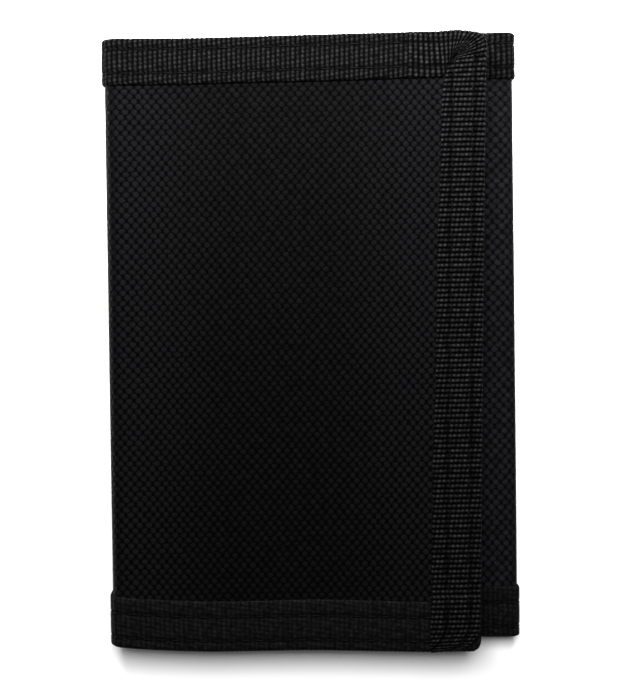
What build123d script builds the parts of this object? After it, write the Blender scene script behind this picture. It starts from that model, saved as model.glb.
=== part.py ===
"""Nylon trifold wallet with a hook-and-loop closure, shut and lying on its back.

Five panels lie side by side when the wallet is opened flat, from left to right: the outer flap,
the left spine, the back panel, the right spine and the inner flap. Each panel is drawn in a frame
of its own, with u to the right and y up as seen from the inside, and with depth 0 at the outside
of the binding tape. Neighbouring panels meet at a fold line FOLD_DEPTH inside the outside faces.
X runs across the shut wallet, Y up its height and Z through its thickness. All sizes are in mm.
"""
import os

from build123d import *

# Closed size
CLOSED_WIDTH = 81.8
BACK_HEIGHT = 121.6
FLAP_HEIGHT = 123.2          # the outer flap is cut a little taller
FLAP_TOP_DROP = 0.75         # and its top edge lies this much lower than the back panel's
INNER_FLAP_REACH = 60.0      # from the right edge of the shut wallet to the inner flap's free edge
FREE_EDGE_TOP_X = 35.9       # the outer flap's free edge leans, from here at its top corner
FREE_EDGE_BOTTOM_X = 32.3    # to here at its bottom corner

# Sheets and tapes, by thickness
TAPE = 0.45
SHELL = 0.7
BILL_SPACE = 0.95
LINING = 0.5
SLOT_SHEET = 0.4
WINDOW_SHEET = 0.3
POCKET_SHEET = 0.5
MOUTH_TAPE = 0.3

# Widths of tapes and steps between layers
TAPE_WIDTH = 9.5
MOUTH_TAPE_WIDTH = 5.0
LINING_STEP = 1.0            # the lining's top edge stands this much lower than the shell's
CORNER_RADIUS = 2.0
CORNER_CUT = 1.0

# Folds
FOLD_DEPTH = 0.5
FOLD_CLEARANCE = 0.2
LAYER_CLEARANCE = 0.35       # between the faces of panels that lie on each other

# Pockets
SLOT_COUNT = 3
FIRST_SLOT_MOUTH = 36.0      # heights of the pocket mouths above the middle of the wallet
SLOT_STEP = 13.0
FLAP_POCKET_MOUTH = 36.0
WINDOW_POCKET = (66.0, 98.0)
WINDOW_OPENING = (53.0, 82.0)
THUMB_SLOT = (24.0, 13.0)
THUMB_SLOT_RISE = 22.0       # of the thumb slot's middle above the lower edge of the window

# Hook-and-loop closure
PATCH_MIDDLE_X = 11.0
HOOK_PATCH = (20.0, 56.0)
LOOP_PATCH = (22.0, 60.0)
LOOP_THICKNESS = 2.1
HOOK_THICKNESS = 2.2
PATCH_CLEARANCE = 0.3
PATCH_CORNER = 2.5

# Depths that follow, from the outside of a panel inwards
SHELL_TOP = TAPE + SHELL
LINING_BOTTOM = SHELL_TOP + BILL_SPACE
LINING_TOP = LINING_BOTTOM + LINING
SLOTS_TOP = LINING_TOP + SLOT_COUNT * SLOT_SHEET
POCKET_TOP = LINING_TOP + POCKET_SHEET

# Heights that follow, in the shut wallet
HALF_WIDTH = CLOSED_WIDTH / 2
FOLD_X = HALF_WIDTH - FOLD_DEPTH
INNER_FLAP_Z = 2 * (SLOTS_TOP + TAPE) + LAYER_CLEARANCE
LOOP_TOP_Z = INNER_FLAP_Z - TAPE + LOOP_THICKNESS
OUTER_FLAP_Z = LOOP_TOP_Z + PATCH_CLEARANCE + HOOK_THICKNESS + POCKET_TOP


class Panel:
    """One flat panel: its plane, its two ends in u, its height range and its innermost sheet."""

    def __init__(self, name, plane, left, right, top_y, height, sheets_top, folds):
        self.name = name
        self.plane = plane
        self.left = left
        self.right = right
        self.low = top_y - height
        self.high = top_y
        self.sheets_top = sheets_top
        self.folds = folds


def inward_plane(x, z, inward, across):
    """A panel's plane, with its depth along inward and its u along across."""
    return Plane(origin=(x, 0, z), x_dir=across, z_dir=inward)


BACK_TOP_Y = (FLAP_HEIGHT + FLAP_TOP_DROP) / 2
FLAP_TOP_Y = BACK_TOP_Y - FLAP_TOP_DROP
BACK_MIDDLE_Y = BACK_TOP_Y - BACK_HEIGHT / 2
back = Panel(
    "back", inward_plane(0, 0, (0, 0, 1), (1, 0, 0)),
    -FOLD_X, FOLD_X, BACK_TOP_Y, BACK_HEIGHT, SLOTS_TOP, folds=("left", "right"),
)
left_spine = Panel(
    "left_spine", inward_plane(-HALF_WIDTH, 0, (1, 0, 0), (0, 0, -1)),
    FOLD_DEPTH - OUTER_FLAP_Z, -FOLD_DEPTH, BACK_TOP_Y, BACK_HEIGHT, LINING_TOP, folds=("left", "right"),
)
outer_flap = Panel(
    "outer_flap", inward_plane(0, OUTER_FLAP_Z, (0, 0, -1), (-1, 0, 0)),
    -FREE_EDGE_TOP_X, FOLD_X, FLAP_TOP_Y, FLAP_HEIGHT, POCKET_TOP, folds=("right",),
)
right_spine = Panel(
    "right_spine", inward_plane(HALF_WIDTH, 0, (-1, 0, 0), (0, 0, 1)),
    FOLD_DEPTH, INNER_FLAP_Z - FOLD_DEPTH, BACK_TOP_Y, BACK_HEIGHT, LINING_TOP, folds=("left", "right"),
)
inner_flap = Panel(
    "inner_flap", inward_plane(0, INNER_FLAP_Z, (0, 0, -1), (-1, 0, 0)),
    -FOLD_X, INNER_FLAP_REACH - HALF_WIDTH, BACK_TOP_Y, BACK_HEIGHT, SLOTS_TOP, folds=("left",),
)
PANELS = (back, left_spine, outer_flap, right_spine, inner_flap)


def end_at(panel, side, y, inset=0.0):
    """u of a panel's left or right end at height y, moved inwards by inset."""
    if side in panel.folds:
        inset = FOLD_CLEARANCE
    u = panel.left if side == "left" else panel.right
    if panel is outer_flap and side == "left":
        share = (panel.high - y) / FLAP_HEIGHT
        u += share * (FREE_EDGE_TOP_X - FREE_EDGE_BOTTOM_X)
    return u + inset if side == "left" else u - inset


def band(panel, low, high, left_inset=0.0, right_inset=0.0):
    """The four corners of the stretch of a panel between two heights."""
    return [
        (end_at(panel, "left", low, left_inset), low),
        (end_at(panel, "right", low, right_inset), low),
        (end_at(panel, "right", high, right_inset), high),
        (end_at(panel, "left", high, left_inset), high),
    ]


def sheet_outline(panel, low, high, inset=TAPE):
    """A sheet that reaches into the free edge's tape, with its free bottom corner cut off."""
    corners = band(panel, low, high, inset, inset)
    above = low + CORNER_CUT
    if "left" not in panel.folds:
        cut = [(end_at(panel, "left", above, inset), above), (corners[0][0] + CORNER_CUT, low)]
        return cut + corners[1:]
    if "right" not in panel.folds:
        cut = [(corners[1][0] - CORNER_CUT, low), (end_at(panel, "right", above, inset), above)]
        return corners[:1] + cut + corners[2:]
    return corners


def draw(points, mode=Mode.ADD):
    """Adds a closed polygon to the current sketch, or takes it away."""
    Polygon(*points, align=None, mode=mode)


def cut_at_folds(panel):
    """Mitres the current part at the panel's folds, so that the next panel has room beside it."""
    for side in panel.folds:
        inward = 1 if side == "left" else -1
        fold_u = panel.left if side == "left" else panel.right
        on_fold = Vector(fold_u + inward * FOLD_CLEARANCE, 0, FOLD_DEPTH)
        beside_fold = on_fold + Vector(inward, 0, -1)
        start = panel.plane.from_local_coords(on_fold)
        normal = panel.plane.from_local_coords(beside_fold) - start
        split(bisect_by=Plane(origin=start, z_dir=normal), keep=Keep.TOP)


def save(builder, label):
    """Labels a finished piece and writes it as a STEP file of its own."""
    builder.part.label = label
    export_step(builder.part, f"parts/{label}.step")


def make_sheet(label, panel, points, low, high):
    """A flat sheet of fabric between two depths."""
    with BuildPart() as sheet:
        with BuildSketch(panel.plane.offset(low)):
            draw(points)
        extrude(amount=high - low)
        cut_at_folds(panel)
    save(sheet, label)


def make_edge_tape(label, panel, edge, first, last):
    """Binding tape folded round the top or bottom edge of the sheets between two depths."""
    side_tapes = {side: TAPE_WIDTH for side in ("left", "right") if side not in panel.folds}
    insets = (side_tapes.get("left", 0.0), side_tapes.get("right", 0.0))
    if edge == "bottom":
        legs = band(panel, panel.low, panel.low + TAPE_WIDTH, *insets)
        web = band(panel, panel.low, panel.low + TAPE, *insets)
    else:
        top = panel.high if first < LINING_BOTTOM else panel.high - LINING_STEP
        legs = band(panel, top - TAPE_WIDTH, top, *insets)
        web = band(panel, top - TAPE, top, *insets)
    with BuildPart() as tape:
        for points, low, high in (
            (legs, first - TAPE, first),
            (web, first - TAPE, last + TAPE),
            (legs, last, last + TAPE),
        ):
            with BuildSketch(panel.plane.offset(low)):
                draw(points)
            extrude(amount=high - low)
        cut_at_folds(panel)
    save(tape, label)


def make_side_tape(label, panel):
    """Binding tape folded round all sheets at a flap's free edge, closed at its two corners."""
    free_side = "left" if "left" not in panel.folds else "right"
    inward = 1 if free_side == "left" else -1
    low_u = end_at(panel, free_side, panel.low)
    high_u = end_at(panel, free_side, panel.high)
    legs = [
        (low_u, panel.low),
        (low_u + inward * TAPE_WIDTH, panel.low),
        (high_u + inward * TAPE_WIDTH, panel.high),
        (high_u, panel.high),
    ]
    filling = sheet_outline(panel, panel.low + TAPE, panel.high - TAPE)
    total = panel.sheets_top + TAPE
    with BuildPart() as tape:
        for low, high, hollow in (
            (0, TAPE, False),
            (TAPE, panel.sheets_top, True),
            (panel.sheets_top, total, False),
        ):
            with BuildSketch(panel.plane.offset(low)) as section:
                draw(legs)
                bottom_corner = section.vertices().sort_by(
                    lambda corner: (corner.center() - Vector(low_u, panel.low, 0)).length
                )[0]
                fillet(bottom_corner, radius=CORNER_RADIUS)
                if hollow:
                    draw(filling, mode=Mode.SUBTRACT)
            extrude(amount=high - low)
    save(tape, label)


def make_mouth_tape(label, panel, mouth, sheet_low, sheet_high):
    """Narrow tape over the upper edge of a pocket sheet."""
    insets = (TAPE_WIDTH, TAPE_WIDTH)
    face = band(panel, mouth - MOUTH_TAPE_WIDTH, mouth, *insets)
    edge = band(panel, mouth, mouth + MOUTH_TAPE, *insets)
    with BuildPart() as tape:
        with BuildSketch(panel.plane.offset(sheet_high)):
            draw(face)
        extrude(amount=MOUTH_TAPE)
        with BuildSketch(panel.plane.offset(sheet_low)):
            draw(edge)
        extrude(amount=sheet_high + MOUTH_TAPE - sheet_low)
        cut_at_folds(panel)
    save(tape, label)


def make_patch(label, panel, size, depth, thickness):
    """A hook or loop patch with rounded corners, standing on a panel at the given depth."""
    middle_u = -PATCH_MIDDLE_X
    with BuildPart() as patch:
        with BuildSketch(panel.plane.offset(depth)):
            with Locations((middle_u, BACK_MIDDLE_Y)):
                RectangleRounded(*size, radius=PATCH_CORNER)
        extrude(amount=thickness)
    save(patch, label)


os.makedirs("parts", exist_ok=True)

# The nylon shell, the lining that makes the bill compartment, and the tapes on their edges
for panel in PANELS:
    sheet_low = panel.low + TAPE
    sheet_high = panel.high - TAPE
    make_sheet(
        f"{panel.name}_shell", panel, sheet_outline(panel, sheet_low, sheet_high),
        TAPE, SHELL_TOP,
    )
    make_sheet(
        f"{panel.name}_lining", panel, sheet_outline(panel, sheet_low, sheet_high - LINING_STEP),
        LINING_BOTTOM, LINING_TOP,
    )
    make_edge_tape(f"{panel.name}_shell_top_tape", panel, "top", TAPE, SHELL_TOP)
    make_edge_tape(f"{panel.name}_lining_top_tape", panel, "top", LINING_BOTTOM, LINING_TOP)
    make_edge_tape(f"{panel.name}_bottom_tape", panel, "bottom", TAPE, panel.sheets_top)

for flap in (outer_flap, inner_flap):
    make_side_tape(f"{flap.name}_side_tape", flap)

# Stepped card slots on the inside of the inner flap, the deepest one first
for number in range(1, SLOT_COUNT + 1):
    mouth = FIRST_SLOT_MOUTH - (number - 1) * SLOT_STEP
    slot_low = LINING_TOP + (number - 1) * SLOT_SHEET
    slot_high = slot_low + SLOT_SHEET
    make_sheet(
        f"card_slot_{number}", inner_flap,
        sheet_outline(inner_flap, inner_flap.low + TAPE, mouth), slot_low, slot_high,
    )
    make_mouth_tape(f"card_slot_{number}_tape", inner_flap, mouth, slot_low, slot_high)

# Slip pocket on the inside of the outer flap
make_sheet(
    "flap_pocket", outer_flap,
    sheet_outline(outer_flap, outer_flap.low + TAPE, FLAP_POCKET_MOUTH), LINING_TOP, POCKET_TOP,
)
make_mouth_tape("flap_pocket_tape", outer_flap, FLAP_POCKET_MOUTH, LINING_TOP, POCKET_TOP)

# Clear identity-card window on the inside of the back panel: backing, clear sheet and frame
window_low = LINING_TOP + SLOT_SHEET
window_high = window_low + WINDOW_SHEET

with BuildPart() as id_pocket_backing:
    with BuildSketch(back.plane.offset(LINING_TOP)):
        with Locations((0, BACK_MIDDLE_Y)):
            RectangleRounded(*WINDOW_POCKET, radius=CORNER_RADIUS)
    extrude(amount=SLOT_SHEET)
save(id_pocket_backing, "id_pocket_backing")

with BuildPart() as id_window:
    with BuildSketch(back.plane.offset(window_low)):
        with Locations((0, BACK_MIDDLE_Y)):
            RectangleRounded(*WINDOW_POCKET, radius=CORNER_RADIUS)
        with Locations((0, BACK_MIDDLE_Y - WINDOW_OPENING[1] / 2 + THUMB_SLOT_RISE)):
            SlotOverall(*THUMB_SLOT, mode=Mode.SUBTRACT)
    extrude(amount=WINDOW_SHEET)
save(id_window, "id_window")

with BuildPart() as id_window_frame:
    with BuildSketch(back.plane.offset(window_high)):
        with Locations((0, BACK_MIDDLE_Y)):
            RectangleRounded(*WINDOW_POCKET, radius=CORNER_RADIUS)
            RectangleRounded(*WINDOW_OPENING, radius=CORNER_RADIUS, mode=Mode.SUBTRACT)
    extrude(amount=SLOTS_TOP - window_high)
save(id_window_frame, "id_window_frame")

# Hook-and-loop closure: the hook side on the flap pocket, the loop side on the inner flap's shell
make_patch("hook_patch", outer_flap, HOOK_PATCH, POCKET_TOP, HOOK_THICKNESS)
make_patch("loop_patch", inner_flap, LOOP_PATCH, TAPE, -LOOP_THICKNESS)
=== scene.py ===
"""Looks for the black nylon trifold wallet: its woven shell, ribbed binding tapes, stitching,
pockets and hook-and-loop patches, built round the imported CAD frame.

Lengths in this script are in mm and become metres when a mesh is made. The fabric of the wallet is
one long strip, so most pieces are drawn along it: s runs from the outer flap's free edge round the
left spine, the back and the right spine to the inner flap's free edge, and depth runs inwards.
"""

import bpy
import numpy as np
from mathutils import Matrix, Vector


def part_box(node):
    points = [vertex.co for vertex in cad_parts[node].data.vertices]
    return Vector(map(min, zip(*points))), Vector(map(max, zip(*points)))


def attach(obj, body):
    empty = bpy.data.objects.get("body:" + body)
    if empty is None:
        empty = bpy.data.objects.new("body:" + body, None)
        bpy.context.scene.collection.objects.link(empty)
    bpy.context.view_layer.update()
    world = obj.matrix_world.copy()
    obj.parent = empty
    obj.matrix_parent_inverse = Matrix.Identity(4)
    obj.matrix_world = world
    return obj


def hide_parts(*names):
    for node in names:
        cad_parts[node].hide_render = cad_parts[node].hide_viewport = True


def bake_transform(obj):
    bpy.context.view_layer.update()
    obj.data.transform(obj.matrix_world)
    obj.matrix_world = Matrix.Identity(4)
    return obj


MM = 0.001

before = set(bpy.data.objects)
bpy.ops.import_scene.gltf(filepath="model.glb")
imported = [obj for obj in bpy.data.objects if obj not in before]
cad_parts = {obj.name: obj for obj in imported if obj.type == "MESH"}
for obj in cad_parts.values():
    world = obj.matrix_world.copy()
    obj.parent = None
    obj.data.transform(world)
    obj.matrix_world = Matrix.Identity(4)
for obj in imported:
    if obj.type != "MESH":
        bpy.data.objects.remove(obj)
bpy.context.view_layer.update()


def box_mm(node):
    """Lowest and highest corner of a CAD node, in mm."""
    low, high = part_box(node)
    return np.array(low) / MM, np.array(high) / MM


# Places read from the frame
CAD_TAPE_WIDTH = 9.5         # the side tape goes this far past the end of the bottom tape
LEFT_X = box_mm("left_spine_shell_top_tape")[0][0]
RIGHT_X = box_mm("right_spine_shell_top_tape")[1][0]
FREE_X = box_mm("outer_flap_side_tape")[1][0]
FREE_BOTTOM_X = box_mm("outer_flap_bottom_tape")[1][0] + CAD_TAPE_WIDTH
INNER_FREE_X = box_mm("inner_flap_side_tape")[0][0]
FLAP_Z = box_mm("outer_flap_shell_top_tape")[1][2]
INNER_Z = box_mm("inner_flap_shell_top_tape")[1][2]
BACK_LOW_Y = box_mm("back_bottom_tape")[0][1]
BACK_HIGH_Y = box_mm("back_shell_top_tape")[1][1]
FLAP_LOW_Y = box_mm("outer_flap_bottom_tape")[0][1]
FLAP_HIGH_Y = box_mm("outer_flap_shell_top_tape")[1][1]

# Depths of the layers, from the outside of a panel inwards
TAPE = FLAP_Z - box_mm("outer_flap_shell")[1][2]
SHELL_IN = FLAP_Z - box_mm("outer_flap_shell")[0][2]
LINING_OUT = FLAP_Z - box_mm("outer_flap_lining")[1][2]
LINING_IN = FLAP_Z - box_mm("outer_flap_lining")[0][2]
POCKET_IN = FLAP_Z - box_mm("flap_pocket")[0][2]
SLOTS_IN = INNER_Z - box_mm("card_slot_3")[0][2]
SHEETS_IN = {
    "outer_flap": POCKET_IN,
    "left_spine": LINING_IN,
    "back": SLOTS_IN,
    "right_spine": LINING_IN,
    "inner_flap": SLOTS_IN,
}

# Tape widths and seams
TOP_TAPE_WIDTH = 9.3
BOTTOM_TAPE_WIDTH = 10.2
BOTTOM_TAPE_CORNER = 2.0
SIDE_TAPE_TOP_WIDTH = 8.7
SIDE_TAPE_BOTTOM_WIDTH = 10.3
INNER_TAPE_WIDTH = CAD_TAPE_WIDTH
MOUTH_TAPE_WIDTH = 5.0
MOUTH_SEAM = 3.2
JOIN_X = 20.0                # where the side tape takes over from the top tape
SEAMS = (2.2, 7.0)           # rows of stitches, from the edge of the fabric
STITCH_PITCH = 2.9
STITCH_LENGTH = 2.35
STITCH_RADIUS = 0.17
STITCH_RINGS = 6
STITCH_SIDES = 6

# Window pocket and patches
WINDOW_OPENING = (53.0, 82.0)
THUMB_SLOT = (24.0, 13.0)
THUMB_SLOT_RISE = 22.0       # of the thumb slot's middle above the lower edge of the window
PATCH_CORNER = 2.0
PATCH_GROUND = 0.7           # thickness of a patch's woven ground

# Weaves
WARP_PITCH = 0.915
WEFT_PITCH = 1.03
RIB_PITCH = 1.0
RIB_HEIGHT = 0.13
TAPE_STEP = RIB_PITCH / 6    # between the rows of a tape's mesh

# The shut wallet's shape
STEP = 0.25                  # between the points of the section
SHEET_STEP = 0.5             # between the rows of the shell's and the lining's mesh
FOLD_SOFTNESS = 0.7          # rounding of the folds
LEFT_CREASE = 1.35           # how far the left spine's creases lie inside its bulge
RIGHT_CREASE = 0.7
FLAP_FROM_Z = 10.65          # what lies higher than this in the shut wallet belongs to the outer flap
FLAP_SWELL = 0.5             # of the outer flap between its tapes
LEFT_SPREAD = 0.6            # how far the folds have worked outwards; the right one only at its top
RIGHT_SPREAD = 1.0
SPREAD_REACH = 9.0           # from a fold to where its spreading ends
CORNER_RADIUS = 3.2          # of the sheets, inside their tapes
INNER_TOP_DROP = 1.2         # how far the inner flap's top slopes down to its free edge
LINING_DROP = 1.0            # of the lining's top edge below the shell's

# Lights: strengths of the world overhead and near the horizon, and powers of the lamps in watts
WORLD = 0.125
HORIZON = 0.95
GLOW_HEIGHTS = (0.1, 0.3)    # sines of the elevations between which the one fades into the other
KEY_POWER = 4.7
TOP_EDGE_POWER = 1.3

# Colour, specular level and bump height of the near-black fabrics
NYLON_GREY = 0.0016
NYLON_SPEC = 0.009
NYLON_BUMP = 0.2
TAPE_GREY = 0.0073
TAPE_SPEC = 0.01

PANELS = ("outer_flap", "left_spine", "back", "right_spine", "inner_flap")
PANEL_LENGTHS = np.array([
    FREE_X - LEFT_X, FLAP_Z, RIGHT_X - LEFT_X, INNER_Z, RIGHT_X - INNER_FREE_X,
])
PANEL_STEPS = np.round(PANEL_LENGTHS / STEP).astype(int)
PANEL_STARTS = np.concatenate([[0], np.cumsum(PANEL_STEPS)]) * STEP
S_END = PANEL_STARTS[-1]
S_ALL = np.arange(PANEL_STEPS.sum() + 1) * STEP
S_LEFT = (PANEL_STARTS[1] + PANEL_STARTS[2]) / 2
S_BACK = (PANEL_STARTS[2] + PANEL_STARTS[3]) / 2
S_RIGHT = (PANEL_STARTS[3] + PANEL_STARTS[4]) / 2


def softened(values, width, step=STEP):
    """Values that are step mm apart, averaged over a bell of the given width, with their ends kept."""
    reach = int(round(3 * width / step))
    bell = np.exp(-0.5 * (np.arange(-reach, reach + 1) * step / width) ** 2)
    first = 2 * values[0] - values[reach:0:-1]
    last = 2 * values[-1] - values[-2:-reach - 2:-1]
    padded = np.concatenate([first, values, last])
    return np.convolve(padded, bell / bell.sum(), mode="valid")


def section(depth):
    """x and z of the strip at S_ALL, at one depth or at a depth for each panel, as two columns."""
    depths = depth if isinstance(depth, dict) else dict.fromkeys(PANELS, depth)
    left = LEFT_X + LEFT_CREASE + depths["left_spine"]
    right = RIGHT_X - RIGHT_CREASE - depths["right_spine"]
    top = FLAP_Z - depths["outer_flap"]
    inner_top = INNER_Z - depths["inner_flap"]
    turns = np.array([
        (FREE_X, top), (left, top), (left, depths["back"]),
        (right, depths["back"]), (right, inner_top), (INNER_FREE_X, inner_top),
    ])
    x = np.interp(S_ALL, PANEL_STARTS, turns[:, 0])
    z = np.interp(S_ALL, PANEL_STARTS, turns[:, 1])
    along_left = np.clip((S_ALL - PANEL_STARTS[1]) / PANEL_LENGTHS[1], 0, 1)
    along_right = np.clip((S_ALL - PANEL_STARTS[3]) / PANEL_LENGTHS[3], 0, 1)
    x = x - LEFT_CREASE * (1 - (2 * along_left - 1) ** 4)
    x = x + RIGHT_CREASE * (1 - (2 * along_right - 1) ** 4)
    return np.stack([softened(x, FOLD_SOFTNESS), softened(z, FOLD_SOFTNESS)], axis=1)


def on_section(s, path):
    """x and z at the places s of a section."""
    return np.stack([np.interp(s, S_ALL, path[:, i]) for i in (0, 1)], axis=1)


def panel_s(panel, x):
    """s of the point of a flat panel above or below x."""
    start_x = {"outer_flap": FREE_X, "back": LEFT_X, "inner_flap": RIGHT_X}[panel]
    return PANEL_STARTS[PANELS.index(panel)] + abs(x - start_x)


# The bottom and top edges of the strip, which run a little out of true
EDGE_S = np.array([
    0, panel_s("outer_flap", 26), panel_s("outer_flap", 0), panel_s("outer_flap", -23),
    panel_s("outer_flap", -36), S_LEFT, PANEL_STARTS[2], PANEL_STARTS[4], S_END,
])
BACK_LOW = BACK_LOW_Y - FLAP_LOW_Y
BACK_HIGH = BACK_HIGH_Y - FLAP_HIGH_Y
LOW_OFFSETS = (-0.3, -0.4, 0.5, 0.45, 1.1, BACK_LOW, BACK_LOW, BACK_LOW - 0.6, BACK_LOW)
HIGH_OFFSETS = (0.35, 0.4, 0.15, -0.2, -0.1, 0.1, BACK_HIGH, BACK_HIGH, BACK_HIGH - INNER_TOP_DROP)
LOW_EDGE = softened(np.interp(S_ALL, EDGE_S, FLAP_LOW_Y + np.array(LOW_OFFSETS)), 3.0)
HIGH_EDGE = softened(np.interp(S_ALL, EDGE_S, FLAP_HIGH_Y + np.array(HIGH_OFFSETS)), 3.0)


def low_edge(s):
    return np.interp(s, S_ALL, LOW_EDGE)


def high_edge(s):
    return np.interp(s, S_ALL, HIGH_EDGE)


def wander(a, b, size, seed):
    """A gentle unevenness that varies with both arguments, in mm."""
    phase = seed * 1.7
    waves = np.sin(a / 11.3 + phase) * np.cos(b / 14.1 - phase)
    waves = waves + 0.5 * np.sin(a / 5.9 - 2 * phase + b / 7.7)
    return size * waves / 1.5


def free_edge_x(y):
    """The outer flap's leaning free edge."""
    share = np.clip((FLAP_HIGH_Y - y) / (FLAP_HIGH_Y - FLAP_LOW_Y), 0, 1)
    return FREE_X + (FREE_BOTTOM_X - FREE_X) * share ** 0.85


def leaned(x, y):
    """x of a point of the outer flap, once the flap leans to its free edge."""
    across = np.clip((x - LEFT_X) / (FREE_X - LEFT_X), 0, 1)
    return x - across * (FREE_X - free_edge_x(y))


def fitted(points, lean=True):
    """Leans the outer flap to its free edge, lets it swell a little between its tapes, and spreads
    the two folds."""
    points = points.copy()
    x, y, z = points[..., 0], points[..., 1], points[..., 2]
    on_flap = np.clip((z - FLAP_FROM_Z) / 0.1, 0, 1)
    across = np.clip((x - LEFT_X) / (FREE_X - LEFT_X), 0, 1)
    if lean:
        points[..., 0] = x + on_flap * (leaned(x, y) - x)
    up = np.clip((y - FLAP_LOW_Y) / (FLAP_HIGH_Y - FLAP_LOW_Y), 0, 1)
    inside = 4 * across * (1 - across)
    swell = FLAP_SWELL * inside * (4 * up * (1 - up)) ** 0.5 - FLAP_SWELL / 2
    points[..., 2] = z + on_flap * (swell + wander(x, y, 0.16, 1) * inside)
    near_left = np.clip((LEFT_X - x) / SPREAD_REACH + 1, 0, 1)
    near_right = np.clip((x - RIGHT_X) / SPREAD_REACH + 1, 0, 1) * (1 - on_flap)
    high = np.clip((y - BACK_LOW_Y) / (BACK_HIGH_Y - BACK_LOW_Y), 0, 1)
    points[..., 0] += near_right ** 2 * RIGHT_SPREAD * high ** 0.7 - near_left ** 2 * LEFT_SPREAD
    return points


# ---- Meshes

def quad_object(name, points, quads, cloth, material):
    """A mesh object from points in mm, four-cornered faces and cloth coordinates in mm."""
    a, b, c, d = (points[quads[:, i]] for i in range(4))
    normals = np.cross(c - a, d - b)
    volume = np.einsum("ij,ij->", (a + b + c + d) / 4, normals)
    if volume < 0:
        quads = quads[:, ::-1]
    mesh = bpy.data.meshes.new(name)
    mesh.vertices.add(len(points))
    mesh.vertices.foreach_set("co", (points * MM).astype(np.float32).ravel())
    mesh.loops.add(quads.size)
    mesh.loops.foreach_set("vertex_index", quads.astype(np.int32).ravel())
    mesh.polygons.add(len(quads))
    mesh.polygons.foreach_set("loop_start", np.arange(0, quads.size, 4, dtype=np.int32))
    mesh.update(calc_edges=True)
    layer = mesh.attributes.new("cloth", "FLOAT_VECTOR", "POINT")
    flat = np.zeros((len(points), 3), np.float32)
    flat[:, :cloth.shape[1]] = cloth
    layer.data.foreach_set("vector", flat.ravel())
    mesh.shade_smooth()
    mesh.materials.append(material)
    made = bpy.data.objects.new(name, mesh)
    bpy.context.scene.collection.objects.link(made)
    return made


def rim_quads(path, count):
    """Faces that join a path of points to the path of their partners, count points later."""
    return np.stack([path[:-1], path[:-1] + count, path[1:] + count, path[1:]], axis=1)


def solid_between(name, outer, inner, cloth, material, slot, ring=False):
    """A closed sheet between two grids of points of the same size. The rows of a ring go round a
    hole, and its last row joins its first."""
    rows, columns = outer.shape[:2]
    count = rows * columns
    index = np.arange(count).reshape(rows, columns)
    if ring:
        index = np.concatenate([index, index[:1]])
        rims = [index[:, -1], index[::-1, 0]]
    else:
        rims = [np.concatenate([index[0], index[1:, -1], index[-1, -2::-1], index[-2::-1, 0]])]
    corners = [index[:-1, :-1], index[:-1, 1:], index[1:, 1:], index[1:, :-1]]
    face = np.stack(corners, axis=-1).reshape(-1, 4)
    quads = np.concatenate([face, face[:, ::-1] + count, *(rim_quads(rim, count) for rim in rims)])
    points = np.concatenate([outer.reshape(-1, 3), inner.reshape(-1, 3)])
    both = np.concatenate([cloth.reshape(-1, cloth.shape[-1])] * 2)
    return quad_object(name, points, quads, both, material)


def rings_round(paths, beside, up, radius, sides):
    """Points of the rings round the points of many paths."""
    angles = np.arange(sides) * 2 * np.pi / sides
    offsets = (
        np.cos(angles)[:, None] * beside[:, :, None]
        + np.sin(angles)[:, None] * up[:, :, None]
    )
    return (paths[:, :, None] + radius * offsets).reshape(-1, 3)


def tube_quads(tubes, rings, sides):
    """Faces of many closed tubes with capped ends; each tube's rings follow each other."""
    ring = np.arange(rings - 1)[:, None] * sides
    side = np.arange(sides)[None, :]
    beside = (side + 1) % sides
    wall = np.stack([ring + side, ring + beside, ring + sides + beside, ring + sides + side], axis=-1)
    one = [wall.reshape(-1, 4)]
    for end in (0, (rings - 1) * sides):
        for first in range(1, sides - 2, 2):
            cap = np.array([[end, end + first, end + first + 1, end + first + 2]])
            one.append(cap if end else cap[:, ::-1])
    one = np.concatenate(one)
    offsets = np.arange(tubes)[:, None, None] * rings * sides
    return (one[None] + offsets).reshape(-1, 4)


# ---- Pieces that follow the strip

# The four lengths that the strip is cut into, each over one fold: its reach in s, and the panels
# whose CAD nodes it stands for
SPANS = {
    "flap": (0, S_LEFT),
    "back_left": (S_LEFT, S_BACK),
    "back_right": (S_BACK, S_RIGHT),
    "inner": (S_RIGHT, S_END),
}
SPAN_NODES = {
    "flap": ("outer_flap", "left_spine"),
    "back_left": ("back",),
    "back_right": ("right_spine",),
    "inner": ("inner_flap",),
}


def bend(piece):
    """Bakes a piece's place into its mesh."""
    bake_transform(piece)


def stand_for(span, kind):
    """Hides the CAD nodes of the same kind in this span."""
    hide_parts(*[f"{panel}_{kind}" for panel in SPAN_NODES[span]])


def corner_cut(from_edge, radius):
    """How far a round corner draws a sheet's end in, by the distance from its side edge."""
    short = np.clip(radius - from_edge, 0, radius)
    return radius - np.sqrt(radius ** 2 - short ** 2)


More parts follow.
